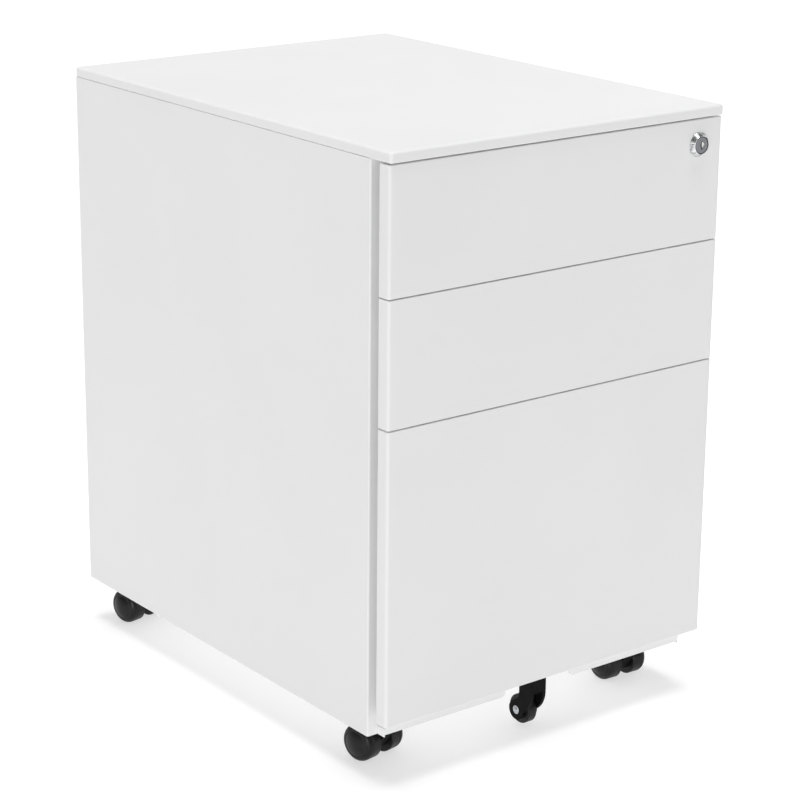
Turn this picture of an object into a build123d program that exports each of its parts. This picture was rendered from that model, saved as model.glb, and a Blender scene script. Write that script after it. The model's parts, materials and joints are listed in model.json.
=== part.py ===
from build123d import *
from math import cos, radians, sin
import os

os.makedirs("parts", exist_ok=True)

# White steel mobile filing cabinet: three drawers, gang lock, four casters and an anti-tip wheel.
# Millimetres. Origin on the floor under the middle of the cabinet, +Z up, the front faces -Y.

# Overall sizes
width = 390.0
depth = 520.0
height = 590.0

# Sheet metal
sheet = 0.8
heavy_sheet = 1.2
fold_radius = 1.2
edge_radius = 1.5
corner_radius = 3.0
seam = 0.2

# Lid: a folded pan with its edges turned under
lid_height = 10.0
lid_return = 15.0
lid_edge_radius = 2.5

# Carcass
body_bottom = 45.0
carcass_setback = 28.5
upright_width = 22.0
upright_depth = 30.0
side_top_flange = 20.0
stiffening_flange = 12.0
rear_flange = 17.0
post_foot = 15.0
post_face = 28.0
post_overrun = 8.0
rail_height = 14.0
rail_depth = 20.0

# Base panel and the lip that shows below the lowest drawer front
base_top = 53.0
lip_setback = 18.4
lip_inset = 11.5
lip_bottom = 47.0
notch_width = 80.0
notch_depth = 27.0
notch_radius = 5.0

# Drawer fronts
face_setback = 1.6
front_thickness = 15.0
front_edge_radius = 1.0
top_gap = 1.5
front_gap = 1.0
shallow_front = 117.0
lowest_front_edge = 62.5
window_margin = 24.0

# Drawer boxes
shallow_box_lift = 10.0
shallow_headroom = 24.0
file_box_lift = 3.5
file_headroom = 40.0
box_length = 462.0
hem_height = 8.0
file_rail_thickness = 2.5
file_rail_drop = 9.0
file_rail_rise = 5.0
file_rail_spacing = 309.0

# Ball-bearing slides
slide_space = 13.0
slide_length = 450.0
slide_setback = 3.5
shallow_slide_height = 35.0
file_slide_height = 45.0
shallow_slide_level = 25.0
file_slide_level = 60.0
shallow_travel = 300.0
file_travel = 420.0
rail_flange = 11.4
rail_running_gap = 0.5
ball_diameter = 3.0
ball_clearance = 0.3
ball_pitch = 7.0
cage_sheet = 0.6
cage_margin = 5.0
shallow_cage_length = 140.0
file_cage_length = 200.0

# Lock on the top drawer front
lock_inset_side = 29.5
lock_inset_top = 23.7
lock_proud = 4.6
collar_radius = 11.75
collar_edge = 0.6
rim_radius = 8.9
plug_head_radius = 8.3
plug_head_thickness = 1.8
plug_recess = 0.3
barrel_radius = 8.0
barrel_length = 14.8
plug_shaft_radius = 5.0
lock_clearance = 0.06
plug_chamfer = 0.5
keyway_height = 8.0
keyway_sweep = 1.8
keyway_width = 1.6
keyway_depth = 3.0
key_recess_reach = 3.4
key_recess_depth = 0.6
nut_flats = 22.0
nut_thickness = 4.0
lock_access_radius = 13.5

# Lock crank, lock bar, its hooks and guides
crank_throw = 4.6
crank_rest_angle = 45.0
crank_hub_radius = 4.6
crank_boss_radius = 3.0
crank_thickness = 2.0
tail_radius = 1.75
tail_overrun = 4.0
slot_clearance = 0.5
bar_setback = 37.5
bar_thickness = 2.0
bar_width = 10.0
bar_inset = 3.9
hook_height = 9.0
hook_gap = 0.6
tab_lift = 1.0
tab_web = 5.0
prong_width = 3.0
stud_radius = 4.0
stud_length = 9.0
stud_gap = 0.6
stud_chamfer = 0.8
shallow_stud_drop = 20.0
file_stud_drop = 25.0
guide_depth = 14.0
guide_leg = 20.0
guide_margin = 2.0
guide_clearance = 0.3
lower_guide_drop = 20.8

# Casters
wheel_radius = 18.0
wheel_width = 17.5
wheel_spacing = 32.0
wheel_edge_radius = 6.0
wheel_dome = 3.0
tread_groove = 0.5
caster_trail = 16.0
caster_inset_side = 43.0
front_caster_inset = 28.5
rear_caster_inset = 49.0
axle_radius = 2.5
axle_clearance = 0.05
plate_size = 42.0
plate_thickness = 1.8
kingpin_radius = 4.0
kingpin_length = 11.0
swivel_gap = 0.3
collar_height = 12.5
hood_collar_radius = 11.0
hood_hub_radius = 12.0
hood_side_gap = 0.45
fender_gap = 1.0
fender_thickness = 2.0
fender_start = 64.0
fender_sweep = 66.0
caster_turns = {"front_left": 10.0, "front_right": -3.0, "rear_left": 10.0, "rear_right": 4.0}

# Anti-tip wheel under the file drawer
fork_width = 18.5
fork_depth = 17.5
fork_setback = 17.0
fork_slot = 11.2
bridge_bottom = 40.0
fork_axle_back = 21.7
fork_axle_height = 17.4
fork_lobe_radius = 9.9
fork_lobe_end = 75.0
fork_neck = 36.0
fork_plate_width = 44.0
fork_plate_length = 43.0
fork_plate_thickness = 3.0
antitip_radius = 14.5
antitip_width = 10.4
antitip_edge = 1.5
rivet_head_radius = 4.3
rivet_head_height = 1.6

# Places worked out from the sizes above
half_width = width / 2
lock_overhang = lock_proud - face_setback
lid_front = (lock_overhang - depth) / 2
back = lid_front + depth
lid_middle = (lid_front + back) / 2
lid_bottom = height - lid_height
face = lid_front + face_setback
front_rear = face + front_thickness
carcass_front = lid_front + carcass_setback
opening_half = half_width - upright_width
box_half = opening_half - slide_space
slide_front = carcass_front + slide_setback
slide_back = slide_front + slide_length
base_bottom = base_top - heavy_sheet
lip_half = half_width - lip_inset
lip_front = lid_front + lip_setback

drawer_names = ["drawer_1", "drawer_2", "file_drawer"]
front_1_top = lid_bottom - top_gap
front_2_top = front_1_top - shallow_front - front_gap
front_3_top = front_2_top - shallow_front - front_gap
front_tops = [front_1_top, front_2_top, front_3_top]
front_bottoms = [front_1_top - shallow_front, front_2_top - shallow_front, lowest_front_edge]
box_floors = [
    front_bottoms[0] + shallow_box_lift,
    front_bottoms[1] + shallow_box_lift,
    front_bottoms[2] + file_box_lift,
]
shallow_box_height = shallow_front - shallow_box_lift - shallow_headroom
file_box_height = front_3_top - lowest_front_edge - file_box_lift - file_headroom
box_heights = [shallow_box_height, shallow_box_height, file_box_height]
box_rims = [floor + box_height for floor, box_height in zip(box_floors, box_heights)]
slide_heights = [shallow_slide_height, shallow_slide_height, file_slide_height]
slide_levels = [
    box_floors[0] + shallow_slide_level,
    box_floors[1] + shallow_slide_level,
    box_floors[2] + file_slide_level,
]
stud_levels = [
    box_rims[0] - shallow_stud_drop,
    box_rims[1] - shallow_stud_drop,
    box_rims[2] - file_stud_drop,
]
sides = {"left": -1, "right": 1}

lock_x = half_width - lock_inset_side
lock_z = front_1_top - lock_inset_top
bar_front = carcass_front + bar_setback
bar_back = bar_front + bar_thickness
stud_y = bar_back + stud_gap + stud_radius


def save(builder, name):
    """Label a finished piece and write it under its own name."""
    builder.part.label = name
    export_step(builder.part, f"parts/{name}.step")


def folded_section(points, thickness, radius=fold_radius):
    """Section of a folded sheet that follows its middle line through the points."""
    with BuildSketch() as section:
        with BuildLine():
            FilletPolyline(*points, radius=radius)
        trace(line_width=thickness)
    return section.sketch


def rounded_block(middle, block_depth, bottom, top, radii, inset):
    """Full-width block with rounded edges, or the hollow that lies this far inside it."""
    front_corners, rear_corners, upper_edges, lower_edges = [radius - inset for radius in radii]
    with BuildPart() as block:
        with BuildSketch(Plane((0, middle, bottom + inset))):
            Rectangle(width - 2 * inset, block_depth - 2 * inset)
        extrude(amount=top - bottom - 2 * inset)
        fillet(block.edges().filter_by(Axis.Z).group_by(Axis.Y)[0], radius=front_corners)
        fillet(block.edges().filter_by(Axis.Z).group_by(Axis.Y)[-1], radius=rear_corners)
        fillet(block.edges().group_by(Axis.Z)[-1], radius=upper_edges)
        fillet(block.edges().group_by(Axis.Z)[0], radius=lower_edges)
    return block.part


# Lid: hollow pan, open underneath inside its turned-under edge
lid_radii = [corner_radius, corner_radius, lid_edge_radius, edge_radius]
lid_block = rounded_block(lid_middle, depth, lid_bottom, height, lid_radii, 0)
lid_hollow = rounded_block(lid_middle, depth, lid_bottom, height, lid_radii, sheet)
with BuildPart() as top_panel:
    add(lid_block)
    add(lid_hollow, mode=Mode.SUBTRACT)
    with BuildSketch(Plane((0, lid_middle, lid_bottom))):
        Rectangle(width - 2 * lid_return, depth - 2 * lid_return)
    extrude(amount=sheet, mode=Mode.SUBTRACT)
save(top_panel, "top_panel")

# Side panels: front flange and return make the upright that carries the slides
for side_name, side in sides.items():
    outer = side * (half_width - sheet / 2)
    inner = side * (opening_half + sheet / 2)
    front_line = carcass_front + sheet / 2
    rear_line = back - sheet / 2
    outline = folded_section(
        [
            (inner, carcass_front + upright_depth),
            (inner, front_line),
            (outer, front_line),
            (outer, rear_line),
            (side * (half_width - rear_flange), rear_line),
        ],
        sheet,
    )
    flange_length = back - carcass_front - upright_depth - 2 * fold_radius
    flange_middle = back - fold_radius - flange_length / 2
    top_flange_x = side * (half_width - side_top_flange / 2)
    bottom_flange_x = side * (half_width - sheet / 2 - stiffening_flange / 2)
    with BuildPart() as side_panel:
        with BuildSketch(Plane.XY.offset(body_bottom)):
            add(outline)
        extrude(amount=lid_bottom - body_bottom)
        with BuildSketch(Plane((top_flange_x, flange_middle, lid_bottom - sheet))):
            Rectangle(side_top_flange, flange_length)
        extrude(amount=sheet)
        with BuildSketch(Plane((bottom_flange_x, flange_middle, body_bottom))):
            Rectangle(stiffening_flange, flange_length)
        extrude(amount=sheet)
    save(side_panel, f"{side_name}_side_panel")

# Back panel: sits inside the rear flanges of the sides
fold_inside = fold_radius - sheet / 2
back_line = back - 1.5 * sheet
back_bottom = base_top + sheet / 2
back_top = lid_bottom - 1.5 * sheet
back_outline = folded_section(
    [
        (back_line - stiffening_flange, back_bottom),
        (back_line, back_bottom),
        (back_line, back_top),
        (back_line - stiffening_flange, back_top),
    ],
    sheet,
)
with BuildPart() as back_panel:
    with BuildSketch(Plane.YZ):
        add(back_outline)
    extrude(amount=half_width - sheet - fold_inside, both=True)
save(back_panel, "back_panel")

# Base panel: flat floor, notched front lip with turned ears, rear flange
floor_half = half_width - sheet - seam
neck_half = opening_half - seam
floor_back = back - 2 * sheet - seam
upright_back = carcass_front + upright_depth + seam
lip_back = carcass_front - seam
with BuildPart() as base_panel:
    with BuildSketch(Plane.XY.offset(base_bottom)):
        with BuildLine():
            Polyline(
                (0, lip_front),
                (lip_half, lip_front),
                (lip_half, lip_back),
                (neck_half, lip_back),
                (neck_half, upright_back),
                (floor_half, upright_back),
                (floor_half, floor_back),
                (0, floor_back),
                close=True,
            )
        make_face()
        mirror(about=Plane.YZ)
        with Locations((0, lip_front)):
            RectangleRounded(notch_width, 2 * notch_depth, notch_radius, mode=Mode.SUBTRACT)
    extrude(amount=heavy_sheet)
    with BuildSketch(Plane.XZ.offset(-lip_front)):
        with BuildLine():
            FilletPolyline(
                (notch_width / 2, base_top),
                (notch_width / 2, lip_bottom),
                (lip_half, lip_bottom),
                (lip_half, base_top),
                radius=[notch_radius, 0],
            )
            Line((lip_half, base_top), (notch_width / 2, base_top))
        make_face()
        mirror(about=Plane.YZ)
    extrude(amount=-sheet)
    with BuildSketch(Plane.XY.offset(body_bottom)):
        for side in sides.values():
            with Locations((side * (lip_half - sheet / 2), (lip_front + lip_back) / 2)):
                Rectangle(sheet, lip_back - lip_front)
    extrude(amount=base_top - body_bottom)
    with BuildSketch(Plane.XY.offset(body_bottom + sheet)):
        with Locations((0, floor_back - sheet / 2)):
            Rectangle(2 * floor_half, sheet)
    extrude(amount=base_top - body_bottom - sheet)
save(base_panel, "base_panel")

# Rear posts: Z sections that carry the back ends of the slides
wall_line = half_width - sheet - heavy_sheet / 2
face_line = opening_half + heavy_sheet / 2
post_back = slide_back + post_overrun
post_web = post_back - post_face
post_outline = folded_section(
    [
        (wall_line, post_web - post_foot),
        (wall_line, post_web),
        (face_line, post_web),
        (face_line, post_back),
    ],
    heavy_sheet,
)
with BuildPart() as rear_posts:
    with BuildSketch(Plane.XY.offset(base_top)):
        add(post_outline)
        mirror(about=Plane.YZ)
    extrude(amount=lid_bottom - sheet - base_top)
save(rear_posts, "rear_posts")

# Top front rail: ties the two uprights together behind the top drawer front
rail_line = carcass_front + sheet + heavy_sheet / 2
rail_top = lid_bottom - heavy_sheet / 2
top_rail_outline = folded_section(
    [
        (rail_line, rail_top - rail_height),
        (rail_line, rail_top),
        (rail_line + rail_depth, rail_top),
        (rail_line + rail_depth, rail_top - rail_height),
    ],
    heavy_sheet,
)
with BuildPart() as top_front_rail:
    with BuildSketch(Plane.YZ):
        add(top_rail_outline)
    extrude(amount=opening_half - seam, both=True)
save(top_front_rail, "top_front_rail")

# Drawer fronts: double-skinned pans whose box closes the window in the rear skin
front_middle = (face + front_rear) / 2
front_radii = [corner_radius, edge_radius, front_edge_radius, front_edge_radius]
for name, bottom, top, floor, box_height in zip(
    drawer_names, front_bottoms, front_tops, box_floors, box_heights
):
    window_height = box_height - 2 * window_margin
    front_block = rounded_block(front_middle, front_thickness, bottom, top, front_radii, 0)
    front_hollow = rounded_block(front_middle, front_thickness, bottom, top, front_radii, sheet)
    with BuildPart() as drawer_front:
        add(front_block)
        add(front_hollow, mode=Mode.SUBTRACT)
        with BuildSketch(Plane.XZ.offset(-front_rear)):
            with Locations((0, floor + box_height / 2)):
                Rectangle(2 * (box_half - window_margin), window_height)
        extrude(amount=sheet, mode=Mode.SUBTRACT)
        if name == "drawer_1":
            with BuildSketch(Plane.XZ.offset(-face)):
                with Locations((lock_x, lock_z)):
                    Circle(barrel_radius + lock_clearance)
            extrude(amount=-sheet, mode=Mode.SUBTRACT)
            with BuildSketch(Plane.XZ.offset(-front_rear)):
                with Locations((lock_x, lock_z)):
                    Circle(lock_access_radius)
            extrude(amount=sheet, mode=Mode.SUBTRACT)
    save(drawer_front, f"{name}_front")

# Drawer boxes: welded trays with a hemmed rim, and a lock stud riveted to the right wall
for name, floor, box_height, stud_level in zip(drawer_names, box_floors, box_heights, stud_levels):
    box_middle = front_rear + box_length / 2
    with BuildPart() as drawer_box:
        with BuildSketch(Plane((0, box_middle, floor))):
            Rectangle(2 * box_half, box_length)
        extrude(amount=box_height)
        fillet(drawer_box.edges().filter_by(Axis.Z), radius=edge_radius)
        fillet(drawer_box.edges().group_by(Axis.Z)[0], radius=edge_radius)
        offset(amount=-sheet, openings=drawer_box.faces().sort_by(Axis.Z)[-1])
        with BuildSketch(Plane((0, box_middle, floor + box_height - hem_height))):
            RectangleRounded(2 * box_half, box_length, edge_radius)
            Rectangle(2 * box_half - 4 * sheet, box_length - 4 * sheet, mode=Mode.SUBTRACT)
        extrude(amount=hem_height)
    save(drawer_box, f"{name}_box")

    with BuildPart() as lock_stud:
        with BuildSketch(Plane.YZ.offset(box_half)):
            with Locations((stud_y, stud_level)):
                Circle(stud_radius)
        extrude(amount=stud_length)
        chamfer(lock_stud.edges().group_by(Axis.X)[-1], length=stud_chamfer)
    save(lock_stud, f"{name}_lock_stud")

# Rails for hanging files: flat bars that rest on the file box's front and back walls
file_rim = box_rims[2]
bar_start = front_rear + seam
bar_end = front_rear + box_length - seam
drop_start = front_rear + 2 * sheet + seam
drop_end = front_rear + box_length - 2 * sheet - seam
with BuildPart() as file_rails:
    with BuildSketch(Plane.YZ.offset(file_rail_spacing / 2)):
        with BuildLine():
            Polyline(
                (bar_start, file_rim),
                (bar_start, file_rim + file_rail_rise),
                (bar_end, file_rim + file_rail_rise),
                (bar_end, file_rim),
                (drop_end, file_rim),
                (drop_end, file_rim - file_rail_drop),
                (drop_start, file_rim - file_rail_drop),
                (drop_start, file_rim),
                close=True,
            )
        make_face()
    extrude(amount=file_rail_thickness / 2, both=True)
    mirror(about=Plane.YZ)
save(file_rails, "file_rails")

# Slides: nested channels with a row of balls above and below, held in a folded cage
race = ball_diameter + 2 * ball_clearance
lip_length = race - rail_running_gap
cage_gap = rail_running_gap
rail_web = opening_half - heavy_sheet / 2
rail_tip = opening_half - rail_flange + heavy_sheet / 2
outer_cage_web = opening_half - heavy_sheet - cage_gap - cage_sheet / 2
inner_tip = outer_cage_web - cage_sheet / 2 - cage_gap
drawer_web = box_half + heavy_sheet / 2
cage_tip = rail_tip + heavy_sheet / 2 + cage_gap
middle_web = inner_tip - heavy_sheet / 2
inner_cage_web = middle_web - heavy_sheet / 2 - cage_gap - cage_sheet / 2
file_drawer_tip = inner_cage_web - cage_sheet / 2 - cage_gap


def lipped_channel(side, web, tip, level, channel_height):
    """Section of a channel whose flanges end in lips that keep the balls in."""
    flange = channel_height / 2 - heavy_sheet / 2
    lip = channel_height / 2 - heavy_sheet - lip_length
    points = [
        (side * tip, level + lip),
        (side * tip, level + flange),
        (side * web, level + flange),
        (side * web, level - flange),
        (side * tip, level - flange),
        (side * tip, level - lip),
    ]
    return folded_section(points, heavy_sheet, heavy_sheet)


def plain_channel(side, web, tip, level, half_height, thickness):
    """Section of a plain channel, given to the middle line of its flanges."""
    points = [
        (side * tip, level + half_height),
        (side * web, level + half_height),
        (side * web, level - half_height),
        (side * tip, level - half_height),
    ]
    return folded_section(points, thickness, thickness)


for name, slide_height, level in zip(drawer_names, slide_heights, slide_levels):
    inside = slide_height / 2 - heavy_sheet
    stages = [(outer_cage_web, inside - race / 2, "ball_cages")]
    drawer_tip = inner_tip
    drawer_flange = inside - race - heavy_sheet / 2
    cage_length = shallow_cage_length
    cage_start = slide_front + shallow_travel / 2 + cage_margin
    if name == "file_drawer":
        middle_height = 2 * (inside - race)
        inside = middle_height / 2 - heavy_sheet
        stages = [
            (outer_cage_web, stages[0][1], "outer_ball_cages"),
            (inner_cage_web, inside - race / 2, "inner_ball_cages"),
        ]
        drawer_tip = file_drawer_tip
        drawer_flange = inside - race - heavy_sheet / 2
        cage_length = file_cage_length
        cage_start = slide_front + file_travel / 4 + cage_margin
        sections = [
            lipped_channel(side, middle_web, rail_tip, level, middle_height) for side in sides.values()
        ]
        with BuildPart() as middle_rails:
            with BuildSketch(Plane.XZ.offset(-slide_front)):
                add(sections)
            extrude(amount=-slide_length)
        save(middle_rails, f"{name}_middle_rails")

    for side_name, side in sides.items():
        section = lipped_channel(side, rail_web, rail_tip, level, slide_height)
        with BuildPart() as cabinet_rail:
            with BuildSketch(Plane.XZ.offset(-slide_front)):
                add(section)
            extrude(amount=-slide_length)
        save(cabinet_rail, f"{name}_{side_name}_cabinet_rail")

        section = plain_channel(side, drawer_web, drawer_tip, level, drawer_flange, heavy_sheet)
        with BuildPart() as drawer_rail:
            with BuildSketch(Plane.XZ.offset(-slide_front)):
                add(section)
            extrude(amount=-slide_length)
        save(drawer_rail, f"{name}_{side_name}_drawer_rail")

    ball_inset = ball_diameter
    ball_rows = [
        cage_start + ball_inset,
        cage_start + ball_inset + ball_pitch,
        cage_start + cage_length - ball_inset - ball_pitch,
        cage_start + cage_length - ball_inset,
    ]
    for cage_web, ball_level, cage_name in stages:
        ball_x = (cage_tip + cage_web - cage_sheet / 2) / 2
        sections = [
            plain_channel(side, cage_web, cage_tip, level, ball_level, cage_sheet)
            for side in sides.values()
        ]
        with BuildPart() as ball_cages:
            with BuildSketch(Plane.XZ.offset(-cage_start)):
                add(sections)
            extrude(amount=-cage_length)
            for ball_y in ball_rows:
                for side in sides.values():
                    above = (side * ball_x, ball_y, level + ball_level)
                    below = (side * ball_x, ball_y, level - ball_level)
                    with Locations(above, below):
                        Sphere(ball_diameter / 2)
        save(ball_cages, f"{name}_{cage_name}")

# Lock housing: conical head outside the front, barrel through it
lock_axis = Axis((lock_x, 0, lock_z), (0, 1, 0))
lock_section = Plane((lock_x, 0, lock_z))
lock_front = face - lock_proud
head_floor = lock_front + plug_recess + plug_head_thickness + lock_clearance
barrel_end = face + barrel_length
shaft_bore = plug_shaft_radius + lock_clearance
head_bore = plug_head_radius + lock_clearance
with BuildPart() as lock_housing:
    with BuildSketch(lock_section):
        with BuildLine():
            Polyline(
                (head_bore, lock_front),
                (rim_radius, lock_front),
                (collar_radius, face - collar_edge),
                (collar_radius, face),
                (barrel_radius, face),
                (barrel_radius, barrel_end),
                (shaft_bore, barrel_end),
                (shaft_bore, head_floor),
                (head_bore, head_floor),
                close=True,
            )
        make_face()
    revolve(axis=lock_axis)
save(lock_housing, "lock_housing")

# Lock nut: clamps the barrel to the inside of the drawer front
with BuildPart() as lock_nut:
    with BuildSketch(Plane.XZ.offset(-(face + sheet))):
        with Locations((lock_x, lock_z)):
            RegularPolygon(nut_flats / 2, 6, major_radius=False)
            Circle(barrel_radius + lock_clearance, mode=Mode.SUBTRACT)
    extrude(amount=-nut_thickness)
save(lock_nut, "lock_nut")

# Lock plug: round head with a bent keyway in a diamond recess, shaft through the barrel
plug_front = lock_front + plug_recess
plug_end = front_rear + seam
key_plane = Plane((lock_x, plug_front, lock_z), x_dir=(1, 0, 0), z_dir=(0, -1, 0))
keyway_points = [
    (keyway_sweep / 2, keyway_height / 2),
    (-keyway_sweep / 2, 0),
    (keyway_sweep / 2, -keyway_height / 2),
]
keyway = folded_section(keyway_points, keyway_width, keyway_width)
with BuildPart() as lock_plug:
    with BuildSketch(lock_section):
        with BuildLine():
            Polyline(
                (0, plug_front),
                (plug_head_radius - plug_chamfer, plug_front),
                (plug_head_radius, plug_front + plug_chamfer),
                (plug_head_radius, plug_front + plug_head_thickness),
                (plug_shaft_radius, plug_front + plug_head_thickness),
                (plug_shaft_radius, plug_end),
                (0, plug_end),
                close=True,
            )
        make_face()
    revolve(axis=lock_axis)
    with BuildSketch(key_plane):
        add(keyway)
    extrude(amount=-keyway_depth, mode=Mode.SUBTRACT)
    with BuildSketch(key_plane):
        with BuildLine():
            Polyline(*keyway_points, (key_recess_reach, 0), close=True)
        make_face()
    extrude(amount=-key_recess_depth, mode=Mode.SUBTRACT)
save(lock_plug, "lock_plug")

# Lock crank: arm on the end of the plug, with a tail pin that pushes the lock bar sideways
tail_x = lock_x + crank_throw * cos(radians(crank_rest_angle))
tail_z = lock_z + crank_throw * sin(radians(crank_rest_angle))
tail_end = bar_back + tail_overrun
with BuildPart() as lock_crank:
    with BuildSketch(Plane.XZ.offset(-plug_end)):
        with Locations((lock_x, lock_z)):
            Circle(crank_hub_radius)
        with Locations((tail_x, tail_z)):
            Circle(crank_boss_radius)
        make_hull()
    extrude(amount=-crank_thickness)
    with BuildSketch(Plane.XZ.offset(-plug_end)):
        with Locations((tail_x, tail_z)):
            Circle(tail_radius)
    extrude(amount=plug_end - tail_end)
save(lock_crank, "lock_crank")

# Lock bar: strip that slides sideways, slotted over the tail pin, with a hook beside each drawer's stud
bar_outer = half_width - bar_inset
bar_inner = bar_outer - bar_width
bar_travel = crank_throw * (cos(radians(crank_rest_angle)) + sin(radians(crank_rest_angle)))
pin_slot_half = tail_radius + slot_clearance
pin_slot_top = lock_z + crank_throw + pin_slot_half
tab_left = tail_x - pin_slot_half - prong_width
tab_bottom = box_rims[0] + tab_lift
tab_top = pin_slot_top + tab_web
hook_tip = box_half + stud_length + hook_gap
bar_bottom = stud_levels[2] - hook_height / 2
with BuildPart() as lock_bar:
    with BuildSketch(Plane.XZ.offset(-bar_front)):
        with Locations(((bar_inner + bar_outer) / 2, (bar_bottom + tab_top) / 2)):
            Rectangle(bar_width, tab_top - bar_bottom)
        with Locations(((tab_left + bar_inner) / 2, (tab_bottom + tab_top) / 2)):
            Rectangle(bar_inner - tab_left, tab_top - tab_bottom)
        for level in stud_levels:
            with Locations(((hook_tip + bar_inner) / 2, level)):
                Rectangle(bar_inner - hook_tip, hook_height)
        with Locations((tail_x, (tab_bottom + pin_slot_top) / 2)):
            Rectangle(2 * pin_slot_half, pin_slot_top - tab_bottom, mode=Mode.SUBTRACT)
    extrude(amount=-bar_thickness)
save(lock_bar, "lock_bar")

# Guides: angle brackets on the right side panel, slotted for the lock bar's sideways travel
guide_wall = half_width - sheet
guide_middle = (bar_front + bar_back) / 2
guide_slot_inner = bar_inner - bar_travel - guide_clearance
guide_slot_outer = bar_outer + guide_clearance
guide_slot_depth = bar_thickness + 2 * guide_clearance
guide_inner = guide_slot_inner - guide_margin
upper_guide_top = tab_bottom - guide_clearance
lower_guide_top = slide_levels[1] - shallow_slide_height / 2 - lower_guide_drop
with BuildPart() as lock_bar_guides:
    for guide_top in (upper_guide_top, lower_guide_top):
        with BuildSketch(Plane((0, guide_middle, guide_top - heavy_sheet))):
            with Locations(((guide_inner + guide_wall) / 2, 0)):
                Rectangle(guide_wall - guide_inner, guide_depth)
            with Locations(((guide_slot_inner + guide_slot_outer) / 2, 0)):
                Rectangle(guide_slot_outer - guide_slot_inner, guide_slot_depth, mode=Mode.SUBTRACT)
        extrude(amount=heavy_sheet)
        with BuildSketch(Plane((guide_wall - heavy_sheet / 2, guide_middle, guide_top))):
            Rectangle(heavy_sheet, guide_depth)
        extrude(amount=-guide_leg)
save(lock_bar_guides, "lock_bar_guides")

# Casters: plates with kingpins under the base, hoods, axles and domed twin wheels
plate_bottom = base_bottom - plate_thickness
hood_top = plate_bottom - swivel_gap
collar_bottom = hood_top - collar_height
wheel_inner = (wheel_spacing - wheel_width) / 2
web_half = wheel_inner - hood_side_gap
wheel_outer = (wheel_spacing + wheel_width) / 2
wheel_crown = wheel_outer + wheel_dome
tread_end = wheel_outer - wheel_edge_radius
bore_end = tread_end + wheel_edge_radius / 2
tread_chamfer = 2 * tread_groove

caster_planes = {}
for caster_name, turn in caster_turns.items():
    caster_x = half_width - caster_inset_side
    if caster_name.endswith("left"):
        caster_x = -caster_x
    caster_y = carcass_front + front_caster_inset
    if caster_name.startswith("rear"):
        caster_y = back - rear_caster_inset
    across = (cos(radians(turn)), sin(radians(turn)), 0)
    caster_planes[caster_name] = Plane((caster_x, caster_y, 0), x_dir=across, z_dir=(0, 0, 1))

with BuildPart() as caster_plates:
    for swivel in caster_planes.values():
        with BuildSketch(Plane((swivel.origin.X, swivel.origin.Y, plate_bottom))):
            RectangleRounded(plate_size, plate_size, edge_radius)
        extrude(amount=plate_thickness)
        with BuildSketch(Plane((swivel.origin.X, swivel.origin.Y, plate_bottom))):
            Circle(kingpin_radius)
        extrude(amount=-kingpin_length)
save(caster_plates, "caster_plates")

for caster_name, swivel in caster_planes.items():
    axle_centre = swivel.origin + swivel.y_dir * caster_trail + swivel.z_dir * wheel_radius
    axle_line = Axis(axle_centre, swivel.x_dir)
    side_plane = Plane(swivel.origin, x_dir=swivel.y_dir, z_dir=swivel.x_dir)
    axle_plane = Plane(axle_centre, x_dir=swivel.x_dir, z_dir=-swivel.y_dir)
    fender_radius = wheel_radius + fender_gap + fender_thickness / 2

    with BuildPart() as caster_hood:
        with BuildSketch(side_plane):
            with Locations((caster_trail, wheel_radius)):
                Circle(hood_hub_radius)
            with Locations((0, hood_top - collar_height / 2)):
                Rectangle(2 * hood_collar_radius, collar_height)
            make_hull()
        extrude(amount=web_half, both=True)
        with BuildSketch(Plane((swivel.origin.X, swivel.origin.Y, collar_bottom))):
            Circle(hood_collar_radius)
        extrude(amount=collar_height)
        with BuildSketch(side_plane):
            with BuildLine():
                CenterArc((caster_trail, wheel_radius), fender_radius, fender_start, fender_sweep)
            trace(line_width=fender_thickness)
        extrude(amount=wheel_outer, both=True)
        with BuildSketch(Plane((swivel.origin.X, swivel.origin.Y, hood_top))):
            Circle(kingpin_radius + axle_clearance)
        extrude(amount=-kingpin_length, mode=Mode.SUBTRACT)
        with BuildSketch(side_plane):
            with Locations((caster_trail, wheel_radius)):
                Circle(axle_radius + axle_clearance)
        extrude(amount=wheel_outer, both=True, mode=Mode.SUBTRACT)
    save(caster_hood, f"{caster_name}_caster_hood")

    with BuildPart() as caster_axle:
        with BuildSketch(side_plane):
            with Locations((caster_trail, wheel_radius)):
                Circle(axle_radius)
        extrude(amount=bore_end - swivel_gap, both=True)
    save(caster_axle, f"{caster_name}_caster_axle")

    for side_name, side in sides.items():
        bore = axle_radius + axle_clearance
        groove = tread_end - tread_chamfer
        edge_middle = wheel_edge_radius * cos(radians(45))
        with BuildPart() as caster_wheel:
            with BuildSketch(axle_plane):
                with BuildLine():
                    Polyline(
                        (side * bore_end, 0),
                        (side * bore_end, bore),
                        (side * wheel_inner, bore),
                        (side * wheel_inner, wheel_radius - tread_chamfer),
                        (side * (wheel_inner + tread_chamfer), wheel_radius),
                        (side * (groove - tread_groove), wheel_radius),
                        (side * groove, wheel_radius - tread_groove),
                        (side * (groove + tread_groove), wheel_radius),
                        (side * tread_end, wheel_radius),
                    )
                    ThreePointArc(
                        (side * tread_end, wheel_radius),
                        (side * (tread_end + edge_middle), wheel_radius - wheel_edge_radius + edge_middle),
                        (side * wheel_outer, wheel_radius - wheel_edge_radius),
                    )
                    TangentArc(
                        (side * wheel_crown, 0),
                        (side * wheel_outer, wheel_radius - wheel_edge_radius),
                        tangent=(0, 1),
                    )
                    Line((side * wheel_crown, 0), (side * bore_end, 0))
                make_face()
            revolve(axis=axle_line)
        save(caster_wheel, f"{caster_name}_caster_{side_name}_wheel")

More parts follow.
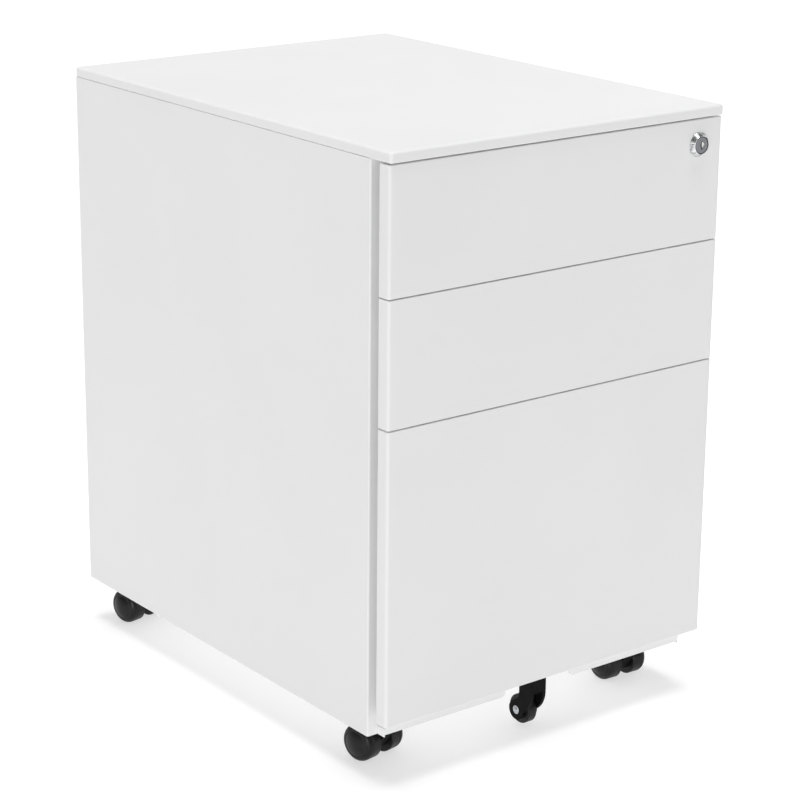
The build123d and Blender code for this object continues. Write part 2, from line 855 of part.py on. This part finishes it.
# Anti-tip fork: bridge and two cheeks that trail back to the axle
fork_front = lid_front + fork_setback
fork_back = fork_front + fork_depth
fork_axle_y = fork_front + fork_axle_back
fork_top = box_floors[2]
lobe_front = (fork_axle_y - fork_lobe_radius, fork_axle_height)
lobe_low = (fork_axle_y, fork_axle_height - fork_lobe_radius)
lobe_top = (
    fork_axle_y + fork_lobe_radius * cos(radians(fork_lobe_end)),
    fork_axle_height + fork_lobe_radius * sin(radians(fork_lobe_end)),
)
with BuildPart() as antitip_fork:
    with BuildSketch(Plane.YZ):
        with BuildLine():
            Line((fork_back, fork_top), (fork_front, fork_top))
            Line((fork_front, fork_top), (fork_front, bridge_bottom))
            TangentArc((fork_front, bridge_bottom), lobe_front, tangent=(0, -1))
            ThreePointArc(lobe_front, lobe_low, lobe_top)
            TangentArc((fork_back, fork_neck), lobe_top, tangent=(0, -1))
            Line((fork_back, fork_neck), (fork_back, fork_top))
        make_face()
    extrude(amount=fork_width / 2, both=True)
    with BuildSketch(Plane.YZ):
        with Locations((fork_axle_y, bridge_bottom / 2)):
            Rectangle(4 * fork_depth, bridge_bottom)
    extrude(amount=fork_slot / 2, both=True, mode=Mode.SUBTRACT)
    with BuildSketch(Plane((0, fork_front + fork_plate_length / 2, fork_top - fork_plate_thickness))):
        RectangleRounded(fork_plate_width, fork_plate_length, edge_radius)
    extrude(amount=fork_plate_thickness)
    with BuildSketch(Plane.YZ):
        with Locations((fork_axle_y, fork_axle_height)):
            Circle(axle_radius + axle_clearance)
    extrude(amount=fork_width, both=True, mode=Mode.SUBTRACT)
save(antitip_fork, "antitip_fork")

# Anti-tip axle: rivet with a domed head on each cheek
rivet_end = fork_width / 2
rivet_tip = rivet_end + rivet_head_height
rivet_axis = Axis((0, fork_axle_y, fork_axle_height), (1, 0, 0))
rivet_section = Plane((0, fork_axle_y, fork_axle_height), x_dir=(1, 0, 0), z_dir=(0, -1, 0))
with BuildPart() as antitip_axle:
    with BuildSketch(rivet_section):
        with BuildLine():
            Polyline((0, 0), (0, axle_radius), (rivet_end, axle_radius), (rivet_end, rivet_head_radius))
            TangentArc((rivet_tip, 0), (rivet_end, rivet_head_radius), tangent=(0, 1))
            Line((rivet_tip, 0), (0, 0))
        make_face()
    revolve(axis=rivet_axis)
    mirror(about=Plane.YZ)
save(antitip_axle, "antitip_axle")

# Anti-tip wheel: solid nylon roller that runs just above the floor
with BuildPart() as antitip_wheel:
    with BuildSketch(Plane.YZ):
        with Locations((fork_axle_y, fork_axle_height)):
            Circle(antitip_radius)
    extrude(amount=antitip_width / 2, both=True)
    fillet(antitip_wheel.edges(), radius=antitip_edge)
    with BuildSketch(Plane.YZ):
        with Locations((fork_axle_y, fork_axle_height)):
            Circle(axle_radius + axle_clearance)
    extrude(amount=antitip_width, both=True, mode=Mode.SUBTRACT)
save(antitip_wheel, "antitip_wheel")
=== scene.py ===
# %% [markdown]
# # A white steel filing cabinet on casters
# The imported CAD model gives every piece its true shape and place, in metres. This lesson dresses that
# frame: it gives each piece the finish of the real one, adds the screws that hold the sheet metal
# together, and sets up a pale floor, soft light and a camera.

import json
import math

import bmesh
import bpy
from mathutils import Matrix, Vector


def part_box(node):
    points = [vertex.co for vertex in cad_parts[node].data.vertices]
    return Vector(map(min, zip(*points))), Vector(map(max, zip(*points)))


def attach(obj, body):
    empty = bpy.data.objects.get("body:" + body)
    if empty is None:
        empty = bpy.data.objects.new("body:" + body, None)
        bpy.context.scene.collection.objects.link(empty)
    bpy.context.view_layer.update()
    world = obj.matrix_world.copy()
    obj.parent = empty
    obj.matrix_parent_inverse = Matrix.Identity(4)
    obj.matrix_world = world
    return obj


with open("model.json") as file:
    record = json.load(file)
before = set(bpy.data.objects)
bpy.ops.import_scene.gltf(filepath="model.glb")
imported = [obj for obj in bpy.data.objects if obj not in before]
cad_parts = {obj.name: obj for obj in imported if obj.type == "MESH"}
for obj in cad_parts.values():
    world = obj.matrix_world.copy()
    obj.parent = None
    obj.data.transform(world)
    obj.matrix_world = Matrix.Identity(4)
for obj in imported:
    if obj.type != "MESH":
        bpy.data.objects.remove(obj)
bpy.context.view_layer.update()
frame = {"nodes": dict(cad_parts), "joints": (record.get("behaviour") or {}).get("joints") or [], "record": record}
nodes = frame["nodes"]
MM = 0.001

# %% [markdown]
# ## Two small tools for finishes
# A finish is a little network of shader nodes. Colours are written as the sRGB hex values that a paint
# card would show, and Blender works in linear light, so one function converts them. A second function
# adds any node, with its settings and with what goes into its sockets.

# %% Colour and node tools
def linear(hex_colour):
    """The linear RGBA of an sRGB hex colour."""
    channels = [int(hex_colour[i:i + 2], 16) / 255 for i in (1, 3, 5)]
    return [c / 12.92 if c <= 0.04045 else ((c + 0.055) / 1.055) ** 2.4 for c in channels] + [1.0]


def add(tree, kind, inputs=None, **settings):
    """A new node: its settings by name, and a value or another node's socket for each input."""
    made = tree.nodes.new(kind)
    for name, value in settings.items():
        setattr(made, name, value)
    for socket, value in (inputs or {}).items():
        if isinstance(value, bpy.types.NodeSocket):
            tree.links.new(value, made.inputs[socket])
        else:
            made.inputs[socket].default_value = value
    return made


def new_finish(name):
    """An empty material: its node tree, its shader, and the piece's own coordinates in metres."""
    material = bpy.data.materials.new(name)
    material.use_nodes = True
    tree = material.node_tree
    shader = next(n for n in tree.nodes if n.type == "BSDF_PRINCIPLED")
    place = add(tree, "ShaderNodeTexCoord").outputs["Object"]
    return material, tree, shader, place


def per_metre(spacing_mm):
    """The texture scale that repeats a pattern once in this many millimetres."""
    return 1 / (spacing_mm * MM)


print("white", [round(c, 3) for c in linear("#FFFFFF")])

# %% [markdown]
# ## Powder-coated steel
# The cabinet is folded from cold-rolled sheet and sprayed with white epoxy-polyester powder, which is
# baked until it flows. It never flows quite flat: the coat keeps a soft ripple a few millimetres long,
# called orange peel, over a fine pebbling. That breaks up reflections and leaves a soft, matt sheen. The
# ripple is only micrometres high, so it is drawn as bump. The colour drifts very slightly where the
# coat is thicker, and handling leaves faint changes of gloss.

# %% White powder coat
def powder_coat(name, light, dark):
    material, tree, shader, place = new_finish(name)
    drift = add(tree, "ShaderNodeTexNoise", {"Vector": place, "Scale": per_metre(160), "Detail": 3.0})
    tint = add(tree, "ShaderNodeValToRGB", {"Fac": drift.outputs["Fac"]})
    tint.color_ramp.elements[0].position = 0.35
    tint.color_ramp.elements[1].position = 0.65
    tint.color_ramp.elements[0].color = linear(dark)
    tint.color_ramp.elements[1].color = linear(light)
    tree.links.new(tint.outputs["Color"], shader.inputs["Base Color"])
    handling = add(tree, "ShaderNodeTexNoise", {"Vector": place, "Scale": per_metre(45), "Detail": 4.0})
    gloss = add(tree, "ShaderNodeMapRange",
                {"Value": handling.outputs["Fac"], "From Min": 0.3, "From Max": 0.7,
                 "To Min": 0.64, "To Max": 0.70})
    tree.links.new(gloss.outputs["Result"], shader.inputs["Roughness"])
    peel = add(tree, "ShaderNodeTexNoise", {"Vector": place, "Scale": per_metre(2.4), "Detail": 1.0})
    pebble = add(tree, "ShaderNodeTexNoise", {"Vector": place, "Scale": per_metre(0.7), "Detail": 2.0})
    ripple = add(tree, "ShaderNodeBump",
                 {"Height": peel.outputs["Fac"], "Strength": 0.35, "Distance": 0.03 * MM})
    skin = add(tree, "ShaderNodeBump",
               {"Height": pebble.outputs["Fac"], "Strength": 0.25, "Distance": 0.012 * MM,
                "Normal": ripple.outputs["Normal"]})
    tree.links.new(skin.outputs["Normal"], shader.inputs["Normal"])
    shader.inputs["IOR"].default_value = 1.5
    return material


white_paint = powder_coat("white_powder_coat", "#E9E9E9", "#E7E7E7")
print("made", white_paint.name)

# %% [markdown]
# ## Zinc-plated steel
# The slides are rolled from strip that is already zinc plated. Rolling draws fine lines along their
# length, and a film of grease makes them patchy. Small stamped pieces, such as the lock bar, the
# studs and the caster plates, are plated after stamping: brighter, with a faint crystal pattern.

# %% Rolled slide steel
def rolled_zinc(name):
    material, tree, shader, place = new_finish(name)
    line_scale = (per_metre(0.5), per_metre(60), per_metre(0.5))
    along = add(tree, "ShaderNodeMapping", {"Vector": place, "Scale": line_scale})
    lines = add(tree, "ShaderNodeTexNoise",
                {"Vector": along.outputs["Vector"], "Scale": 1.0, "Detail": 2.0})
    tint = add(tree, "ShaderNodeValToRGB", {"Fac": lines.outputs["Fac"]})
    tint.color_ramp.elements[0].color = linear("#A9ACAF")
    tint.color_ramp.elements[1].color = linear("#C9CBCD")
    tree.links.new(tint.outputs["Color"], shader.inputs["Base Color"])
    grease = add(tree, "ShaderNodeTexNoise", {"Vector": place, "Scale": per_metre(22), "Detail": 3.0})
    gloss = add(tree, "ShaderNodeMapRange",
                {"Value": grease.outputs["Fac"], "From Min": 0.35, "From Max": 0.65,
                 "To Min": 0.24, "To Max": 0.42})
    tree.links.new(gloss.outputs["Result"], shader.inputs["Roughness"])
    drawn = add(tree, "ShaderNodeBump",
                {"Height": lines.outputs["Fac"], "Strength": 0.3, "Distance": 0.02 * MM})
    tree.links.new(drawn.outputs["Normal"], shader.inputs["Normal"])
    shader.inputs["Metallic"].default_value = 1.0
    return material


slide_steel = rolled_zinc("rolled_zinc_plated_steel")
print("made", slide_steel.name)


# %% Bright zinc plate
def bright_zinc(name):
    material, tree, shader, place = new_finish(name)
    crystals = add(tree, "ShaderNodeTexVoronoi", {"Vector": place, "Scale": per_metre(1.6)})
    grain = add(tree, "ShaderNodeSeparateColor", {"Color": crystals.outputs["Color"]})
    tint = add(tree, "ShaderNodeValToRGB", {"Fac": grain.outputs["Red"]})
    tint.color_ramp.elements[0].color = linear("#B4B8BD")
    tint.color_ramp.elements[1].color = linear("#CFD2D6")
    tree.links.new(tint.outputs["Color"], shader.inputs["Base Color"])
    gloss = add(tree, "ShaderNodeMapRange",
                {"Value": grain.outputs["Green"], "To Min": 0.22, "To Max": 0.34})
    tree.links.new(gloss.outputs["Result"], shader.inputs["Roughness"])
    pits = add(tree, "ShaderNodeTexNoise", {"Vector": place, "Scale": per_metre(0.5), "Detail": 2.0})
    skin = add(tree, "ShaderNodeBump",
               {"Height": pits.outputs["Fac"], "Strength": 0.2, "Distance": 0.015 * MM})
    tree.links.new(skin.outputs["Normal"], shader.inputs["Normal"])
    shader.inputs["Metallic"].default_value = 1.0
    return material


zinc_plate = bright_zinc("bright_zinc_plate")
print("made", zinc_plate.name)

# %% [markdown]
# ## The lock's two metals
# The housing is a zinc die casting, polished and chrome plated. Polishing a small cone by hand leaves
# it cloudy, drawn as patchy roughness and a soft ripple; light and dark patches a few millimetres wide are
# also painted into its colour, a painted reflection of the room. The plug is turned on a lathe: fine rings
# run round its axis and it is a little darker. The rings are really about a tenth of a millimetre apart;
# they are drawn three times coarser to show. The shallow recess is painted near-white as a painted
# highlight, the keyway and a strip of the recess beside it are painted black as painted shade, and the
# plug's bevelled edge is coloured dark grey. So the colour depends on how deep a point lies behind the
# plug's face, on which side of the keyway it is, and on how far it is from the axis.

# %% Chrome plate
def chrome_plate(name):
    material, tree, shader, place = new_finish(name)
    polish_and_reflection_patches = add(tree, "ShaderNodeTexNoise", {"Vector": place, "Scale": per_metre(4.0), "Detail": 3.0})
    gloss = add(tree, "ShaderNodeMapRange",
                {"Value": polish_and_reflection_patches.outputs["Fac"], "From Min": 0.35, "From Max": 0.65,
                 "To Min": 0.13, "To Max": 0.22})
    tree.links.new(gloss.outputs["Result"], shader.inputs["Roughness"])
    # Painted reflection: light and dark patches of the mirrored room are painted into the base colour.
    tint = add(tree, "ShaderNodeValToRGB", {"Fac": polish_and_reflection_patches.outputs["Fac"]})
    tint.color_ramp.elements[0].position = 0.38
    tint.color_ramp.elements[1].position = 0.56
    tint.color_ramp.elements[0].color = linear("#97999B")
    tint.color_ramp.elements[1].color = linear("#E2E3E4")
    tree.links.new(tint.outputs["Color"], shader.inputs["Base Color"])
    wave = add(tree, "ShaderNodeBump",
               {"Height": polish_and_reflection_patches.outputs["Fac"], "Strength": 0.5, "Distance": 0.1 * MM})
    tree.links.new(wave.outputs["Normal"], shader.inputs["Normal"])
    shader.inputs["Metallic"].default_value = 1.0
    return material


lock_chrome = chrome_plate("chrome_plated_zinc_casting")
print("made", lock_chrome.name)

# %% Turned steel
plug_low, plug_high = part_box("lock_plug")
plug_face = Vector(((plug_low.x + plug_high.x) / 2, plug_low.y, (plug_low.z + plug_high.z) / 2))
plug_radius = (plug_high.x - plug_low.x) / 2
PLUG_BEVEL = 0.8 * MM
KEYWAY_DEPTH = 3.0 * MM
FACE_SKIN = 0.1 * MM
# How far past the axis the strip beside the keyway is painted black as painted shade.
PAINTED_SHADE_REACH = 0.7 * MM
RING_SPACING_MM = 0.35
# The black painted into the keyway and the strip beside it as painted shade.
PAINTED_SHADE_BLACK = "#0A0A0A"
# A colour mix node has its factor and its two colours in these sockets, and its result in the last.
MIX_FACTOR, MIX_FROM, MIX_TO, MIX_RESULT = 0, 6, 7, 2


def turned_steel(name, centre, edge_radius):
    material, tree, shader, place = new_finish(name)
    offset = add(tree, "ShaderNodeVectorMath", {0: place, 1: tuple(centre)}, operation="SUBTRACT")
    across = add(tree, "ShaderNodeVectorMath", {0: offset.outputs["Vector"], 1: (1, 0, 1)},
                 operation="MULTIPLY")
    radius = add(tree, "ShaderNodeVectorMath", {0: across.outputs["Vector"]}, operation="LENGTH")
    turn = add(tree, "ShaderNodeMath",
               {0: radius.outputs["Value"], 1: math.tau * per_metre(RING_SPACING_MM)}, operation="MULTIPLY")
    rings = add(tree, "ShaderNodeMath", {0: turn.outputs["Value"]}, operation="SINE")
    tint = add(tree, "ShaderNodeValToRGB", {"Fac": rings.outputs["Value"]})
    tint.color_ramp.elements[0].color = linear("#77797D")
    tint.color_ramp.elements[1].color = linear("#919398")
    parts = add(tree, "ShaderNodeSeparateXYZ", {"Vector": offset.outputs["Vector"]})
    depth = add(tree, "ShaderNodeMapRange", {"Value": parts.outputs["Y"], "From Max": KEYWAY_DEPTH})
    # Painted light: near the face the recess is painted near-white as a painted highlight, and deeper in the
    # keyway it is painted black as painted shade.
    painted_recess_light_and_shade = add(tree, "ShaderNodeValToRGB", {"Fac": depth.outputs["Result"]})
    painted_recess_light_and_shade.color_ramp.elements[0].position = 0.19
    painted_recess_light_and_shade.color_ramp.elements[0].color = linear("#F4F4F2")
    painted_recess_light_and_shade.color_ramp.elements[1].position = 0.30
    painted_recess_light_and_shade.color_ramp.elements[1].color = linear(PAINTED_SHADE_BLACK)
    # Painted shade: the part of the recess beside the keyway, on its left, is painted black.
    shaded_strip_mask = add(tree, "ShaderNodeMath", {0: parts.outputs["X"], 1: PAINTED_SHADE_REACH}, operation="LESS_THAN")
    recess = add(tree, "ShaderNodeMix",
                 {MIX_FACTOR: shaded_strip_mask.outputs["Value"], MIX_FROM: painted_recess_light_and_shade.outputs["Color"],
                  MIX_TO: linear(PAINTED_SHADE_BLACK)}, data_type="RGBA")
    sunk = add(tree, "ShaderNodeMath", {0: parts.outputs["Y"], 1: FACE_SKIN}, operation="GREATER_THAN")
    keyed = add(tree, "ShaderNodeMix",
                {MIX_FACTOR: sunk.outputs["Value"], MIX_FROM: tint.outputs["Color"],
                 MIX_TO: recess.outputs[MIX_RESULT]}, data_type="RGBA")
    # The plug's bevelled edge is coloured dark grey.
    rim = add(tree, "ShaderNodeMath", {0: radius.outputs["Value"], 1: edge_radius},
              operation="GREATER_THAN")
    plug_colour = add(tree, "ShaderNodeMix",
                  {MIX_FACTOR: rim.outputs["Value"], MIX_FROM: keyed.outputs[MIX_RESULT],
                   MIX_TO: linear("#2A2B2C")}, data_type="RGBA")
    tree.links.new(plug_colour.outputs[MIX_RESULT], shader.inputs["Base Color"])
    cut = add(tree, "ShaderNodeBump",
              {"Height": rings.outputs["Value"], "Strength": 0.25, "Distance": 0.02 * MM})
    tree.links.new(cut.outputs["Normal"], shader.inputs["Normal"])
    shader.inputs["Metallic"].default_value = 1.0
    shader.inputs["Roughness"].default_value = 0.28
    return material


lock_steel = turned_steel("turned_steel", plug_face, plug_radius - PLUG_BEVEL)
print("plug face at", [round(v, 4) for v in plug_face])

# %% [markdown]
# ## Black nylon
# The caster hoods and the anti-tip fork are moulded in glass-filled nylon, whose mould was spark
# eroded: a fine even grit that leaves a satin black. The wheels are a harder, smoother nylon and pick
# up a grey bloom of scuffs as they roll.

# %% Moulded nylon
SCUFF_ROUGHNESS = 0.14


def moulded_nylon(name, dark, bloom, rough, grit_mm, grit_height, shine):
    material, tree, shader, place = new_finish(name)
    cloud = add(tree, "ShaderNodeTexNoise",
                {"Vector": place, "Scale": per_metre(9), "Detail": 5.0, "Roughness": 0.65})
    tint = add(tree, "ShaderNodeValToRGB", {"Fac": cloud.outputs["Fac"]})
    tint.color_ramp.elements[0].position = 0.42
    tint.color_ramp.elements[1].position = 0.78
    tint.color_ramp.elements[0].color = linear(dark)
    tint.color_ramp.elements[1].color = linear(bloom)
    tree.links.new(tint.outputs["Color"], shader.inputs["Base Color"])
    gloss = add(tree, "ShaderNodeMapRange",
                {"Value": cloud.outputs["Fac"], "From Min": 0.3, "From Max": 0.75,
                 "To Min": rough, "To Max": rough + SCUFF_ROUGHNESS})
    tree.links.new(gloss.outputs["Result"], shader.inputs["Roughness"])
    grit = add(tree, "ShaderNodeTexNoise", {"Vector": place, "Scale": per_metre(grit_mm), "Detail": 2.0})
    skin = add(tree, "ShaderNodeBump",
               {"Height": grit.outputs["Fac"], "Strength": 0.4, "Distance": grit_height * MM})
    tree.links.new(skin.outputs["Normal"], shader.inputs["Normal"])
    shader.inputs["IOR"].default_value = 1.53
    shader.inputs["Specular IOR Level"].default_value = shine
    return material


hood_nylon = moulded_nylon("spark_eroded_black_nylon", "#040404", "#09090A",
                           rough=0.6, grit_mm=0.6, grit_height=0.03, shine=0.12)
wheel_nylon = moulded_nylon("smooth_black_nylon", "#0E0E0F", "#1B1B1C",
                            rough=0.33, grit_mm=0.9, grit_height=0.01, shine=0.25)
print("made", hood_nylon.name, wheel_nylon.name)

# %% [markdown]
# ## Finishes onto the CAD pieces
# The record names a material slot for each piece. The slots map onto the finishes above, and the
# wheels take the smoother of the two nylons.

# %% Assign the finishes
slot_finish = {
    "white_paint": white_paint,
    "slide_steel": slide_steel,
    "zinc_plate": zinc_plate,
    "chrome_plate": lock_chrome,
    "lock_steel": lock_steel,
    "black_nylon": hood_nylon,
}
slot_of = {entry["node"]: entry["material_slot"] for entry in frame["record"]["subparts"]}
for name, piece in nodes.items():
    finish = wheel_nylon if name.endswith("_wheel") else slot_finish[slot_of[name]]
    piece.data.materials.clear()
    piece.data.materials.append(finish)
print(len(nodes), "pieces painted")

# %% [markdown]
# ## Screws
# Pan-head screws hold each drawer box to its front, the slides to the boxes, the casters to the base
# and the anti-tip fork to the file drawer. They only show from above, from below or with a drawer
# open. The head is a lathe shape, so it is built ring by ring from a profile; the cross recess is an
# outline on the flat of the head, drawn down to a smaller outline, because a driver bit is tapered.

# %% One screw head
HEAD_STEPS = 28
# Shares of the head's radius and height, from the rim up to the flat.
HEAD_PROFILE = [(1.0, 0.0), (1.0, 0.3), (0.96, 0.55), (0.86, 0.8), (0.72, 0.95), (0.6, 1.0)]
RECESS_ARM, RECESS_HALF_WIDTH = 0.5, 0.13
RECESS_TAPER, RECESS_FLOOR = 0.6, 0.35


def pan_head(radius, height):
    """The mesh of one screw head that stands on z = 0."""
    shape = bmesh.new()
    rings = []
    for out, rise in HEAD_PROFILE:
        turns = [math.tau * step / HEAD_STEPS for step in range(HEAD_STEPS)]
        ring = [(out * radius * math.cos(a), out * radius * math.sin(a), rise * height) for a in turns]
        rings.append([shape.verts.new(corner) for corner in ring])
    for lower, upper in zip(rings, rings[1:]):
        for here in range(HEAD_STEPS):
            after = (here + 1) % HEAD_STEPS
            shape.faces.new((lower[here], lower[after], upper[after], upper[here]))
    shape.faces.new(rings[0])
    arm, half = RECESS_ARM * radius, RECESS_HALF_WIDTH * radius
    quarter = [(arm, -half), (arm, half), (half, half)]
    cross = []
    for turn in range(4):
        cross += [tuple(Matrix.Rotation(turn * math.pi / 2, 2) @ Vector(corner)) for corner in quarter]
    mouth = [shape.verts.new((x, y, height)) for x, y in cross]
    pit = [shape.verts.new((RECESS_TAPER * x, RECESS_TAPER * y, RECESS_FLOOR * height)) for x, y in cross]
    for here in range(len(cross)):
        after = (here + 1) % len(cross)
        shape.faces.new((mouth[here], mouth[after], pit[after], pit[here]))
    shape.faces.new(pit)
    flat = [edge for edge in shape.edges if len(edge.link_faces) == 1]
    bmesh.ops.triangle_fill(shape, use_beauty=True, use_dissolve=False, edges=flat)
    bmesh.ops.recalc_face_normals(shape, faces=shape.faces)
    mesh = bpy.data.meshes.new("screw_head")
    shape.to_mesh(mesh)
    shape.free()
    return mesh


big_head = pan_head(radius=3.6 * MM, height=2.0 * MM)
low_head = pan_head(radius=3.0 * MM, height=1.4 * MM)
print("a screw head has", len(big_head.polygons), "faces")


# %% A set of screws on one body
DRIVEN_STEP = math.radians(47)
SHARP_EDGE = math.radians(35)


def screw_set(name, head, body, spots):
    """Copies of a head at each place, standing out along each direction, as one piece."""
    shape = bmesh.new()
    for number, (place, out) in enumerate(spots):
        before = len(shape.verts)
        shape.from_mesh(head)
        shape.verts.ensure_lookup_table()
        turned = Vector(out).to_track_quat("Z", "Y").to_matrix().to_4x4()
        driven = Matrix.Rotation(DRIVEN_STEP * number, 4, "Z")
        moved = Matrix.Translation(place) @ turned @ driven
        bmesh.ops.transform(shape, matrix=moved, verts=shape.verts[before:])
    mesh = bpy.data.meshes.new(name)
    shape.to_mesh(mesh)
    shape.free()
    mesh.shade_smooth()
    mesh.set_sharp_from_angle(angle=SHARP_EDGE)
    mesh.materials.append(zinc_plate)
    piece = bpy.data.objects.new(name, mesh)
    bpy.context.scene.collection.objects.link(piece)
    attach(piece, body)
    print(name, len(spots))


# %% Screws in the drawers
WALL = 0.8 * MM
RAIL_WALL = 1.2 * MM
SCREW_INSET = 12 * MM
SCREW_RISE, SCREW_DROP = 13 * MM, 15 * MM
RAIL_SHARES = (0.08, 0.5, 0.92)
for drawer in ("drawer_1", "drawer_2", "file_drawer"):
    low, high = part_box(drawer + "_box")
    spots = []
    for x in (low.x + SCREW_INSET, high.x - SCREW_INSET):
        for z in (low.z + SCREW_RISE, high.z - SCREW_DROP):
            spots.append(((x, low.y + WALL, z), (0, 1, 0)))
    screw_set(drawer + "_front_screws", big_head, drawer, spots)
    spots = []
    for side, out in (("left", -1), ("right", 1)):
        rail_low, rail_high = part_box(f"{drawer}_{side}_drawer_rail")
        web = low.x - RAIL_WALL if side == "left" else high.x + RAIL_WALL
        for along in RAIL_SHARES:
            y = rail_low.y + along * (rail_high.y - rail_low.y)
            spots.append(((web, y, (rail_low.z + rail_high.z) / 2), (out, 0, 0)))
    screw_set(drawer + "_slide_screws", low_head, drawer, spots)

# %% Screws under the base and the anti-tip fork
HOOD_GAP = 0.3 * MM
PLATE_SCREW_REACH = 16 * MM
plate_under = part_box("front_left_caster_hood")[1].z + HOOD_GAP
spots = []
for joint in frame["joints"]:
    if joint["name"].endswith("_caster_swivel"):
        x, y, _ = joint["pos_m"]
        for right, back in ((-1, -1), (1, -1), (1, 1), (-1, 1)):
            spot = (x + PLATE_SCREW_REACH * right, y + PLATE_SCREW_REACH * back, plate_under)
            spots.append((spot, (0, 0, -1)))
screw_set("caster_screws", big_head, "carcass", spots)

FORK_INSET = 6 * MM
FORK_ROWS = (7 * MM, 36 * MM)
FORK_FLANGE = 3.0 * MM
fork_low, fork_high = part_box("antitip_fork")
spots = []
for x in (fork_low.x + FORK_INSET, fork_high.x - FORK_INSET):
    for row in FORK_ROWS:
        spots.append(((x, fork_low.y + row, fork_high.z - FORK_FLANGE), (0, 0, -1)))
screw_set("fork_screws", low_head, "file_drawer", spots)

# %% [markdown]
# ## Floor and light
# A catalogue picture of a white object is taken on a light table: a floor of opal acrylic, lit from
# below, that throws light up the sides and keeps the shadow under the cabinet pale. A broad lamp
# overhead makes the top the brightest face. A broad key from the left shines into the finger grooves,
# and a rim lamp from behind on the right lights the far end of the gap under the lid. All are far
# lamps that fill a wide angle, so their shadows are soft and the floor is evenly lit. The room itself
# gives little light, but its backdrop is seen as white, so a low view shows no grey above the floor.

# %% Floor
FLOOR_SIZE = 40.0
FLOOR_GLOW = 0.6
floor_mesh = bpy.data.meshes.new("studio_floor")
shape = bmesh.new()
bmesh.ops.create_grid(shape, x_segments=1, y_segments=1, size=FLOOR_SIZE / 2)
shape.to_mesh(floor_mesh)
shape.free()
floor = bpy.data.objects.new("studio_floor", floor_mesh)
bpy.context.scene.collection.objects.link(floor)
floor_paint, tree, shader, place = new_finish("opal_acrylic_floor")
sweep = add(tree, "ShaderNodeTexNoise", {"Vector": place, "Scale": per_metre(900), "Detail": 2.0})
tint = add(tree, "ShaderNodeValToRGB", {"Fac": sweep.outputs["Fac"]})
tint.color_ramp.elements[0].color = linear("#B2B2B2")
tint.color_ramp.elements[1].color = linear("#B6B6B6")
tree.links.new(tint.outputs["Color"], shader.inputs["Base Color"])
shader.inputs["Roughness"].default_value = 0.9
shader.inputs["Emission Color"].default_value = linear("#FFFFFF")
shader.inputs["Emission Strength"].default_value = FLOOR_GLOW
floor_mesh.materials.append(floor_paint)
print("floor", FLOOR_SIZE, "m wide")

# %% Room and lamps
ROOM_LIGHT = 0.16
BACKDROP_GLOW = 0.94
LAMP_DISTANCE = 4.0
scene = bpy.context.scene
scene.view_settings.view_transform = "Standard"
room = bpy.data.worlds.new("white_room")
room.use_nodes = True
backdrop = room.node_tree.nodes["Background"]
backdrop.inputs["Color"].default_value = linear("#FFFFFF")
seen = add(room.node_tree, "ShaderNodeLightPath")
glow = add(room.node_tree, "ShaderNodeMath",
           {0: seen.outputs["Is Camera Ray"], 1: BACKDROP_GLOW, 2: ROOM_LIGHT}, operation="MULTIPLY_ADD")
room.node_tree.links.new(glow.outputs["Value"], backdrop.inputs["Strength"])
scene.world = room


def broad_lamp(name, strength, spread, azimuth, elevation):
    """A far lamp that fills an angle of the sky. Azimuth 0 shines from the front, -90 from the left.

    The strength is in watts per square metre and the angles are in degrees.
    """
    lamp = bpy.data.lights.new(name, "SUN")
    lamp.energy = strength
    lamp.angle = math.radians(spread)
    turn, rise = math.radians(azimuth), math.radians(elevation)
    source = Vector((math.sin(turn) * math.cos(rise),
                     -math.cos(turn) * math.cos(rise),
                     math.sin(rise)))
    stand = bpy.data.objects.new(name, lamp)
    stand.location = source * LAMP_DISTANCE
    stand.rotation_mode = "QUATERNION"
    stand.rotation_quaternion = (-source).to_track_quat("-Z", "Y")
    scene.collection.objects.link(stand)


broad_lamp("key_lamp", strength=1.19, spread=14, azimuth=-48, elevation=10)
broad_lamp("rim_lamp", strength=0.9, spread=30, azimuth=118, elevation=10)
broad_lamp("overhead_lamp", strength=2.63, spread=30, azimuth=0, elevation=90)
print("three broad lamps in a white room")

# %% [markdown]
# ## Camera
# The photograph was taken from the front left with a long lens. Fitting a camera to the cabinet's
# corners gives where it stood, its turn, tilt and small roll, and its focal length in pixels of an
# 800 pixel picture. The lens is shifted down a little, so the picture's middle lies below its axis.

# %% Camera
IMAGE = 800
FOCAL_PIXELS = 2425.7
AXIS_ROW = 360.0
SENSOR = 36.0
CAMERA_AT = Vector((-1.4076, -1.8421, 0.9996))
TURN, TILT, ROLL = math.radians(37.703), math.radians(16.488), math.radians(0.524)

ahead = Vector((math.sin(TURN) * math.cos(TILT),
                math.cos(TURN) * math.cos(TILT),
                -math.sin(TILT)))
level = Vector((math.cos(TURN), -math.sin(TURN), 0))
upward = level.cross(ahead)
right = math.cos(ROLL) * level + math.sin(ROLL) * upward
up = math.cos(ROLL) * upward - math.sin(ROLL) * level
lens = bpy.data.cameras.new("view_camera")
lens.sensor_width = SENSOR
lens.lens = FOCAL_PIXELS / IMAGE * lens.sensor_width
lens.shift_y = -(IMAGE / 2 - AXIS_ROW) / IMAGE
camera = bpy.data.objects.new("view_camera", lens)
turned = Matrix((right, up, -ahead)).transposed().to_4x4()
camera.matrix_world = Matrix.Translation(CAMERA_AT) @ turned
scene.collection.objects.link(camera)
scene.camera = camera
print(f"lens {lens.lens:.1f} mm, shift {lens.shift_y:.3f}")
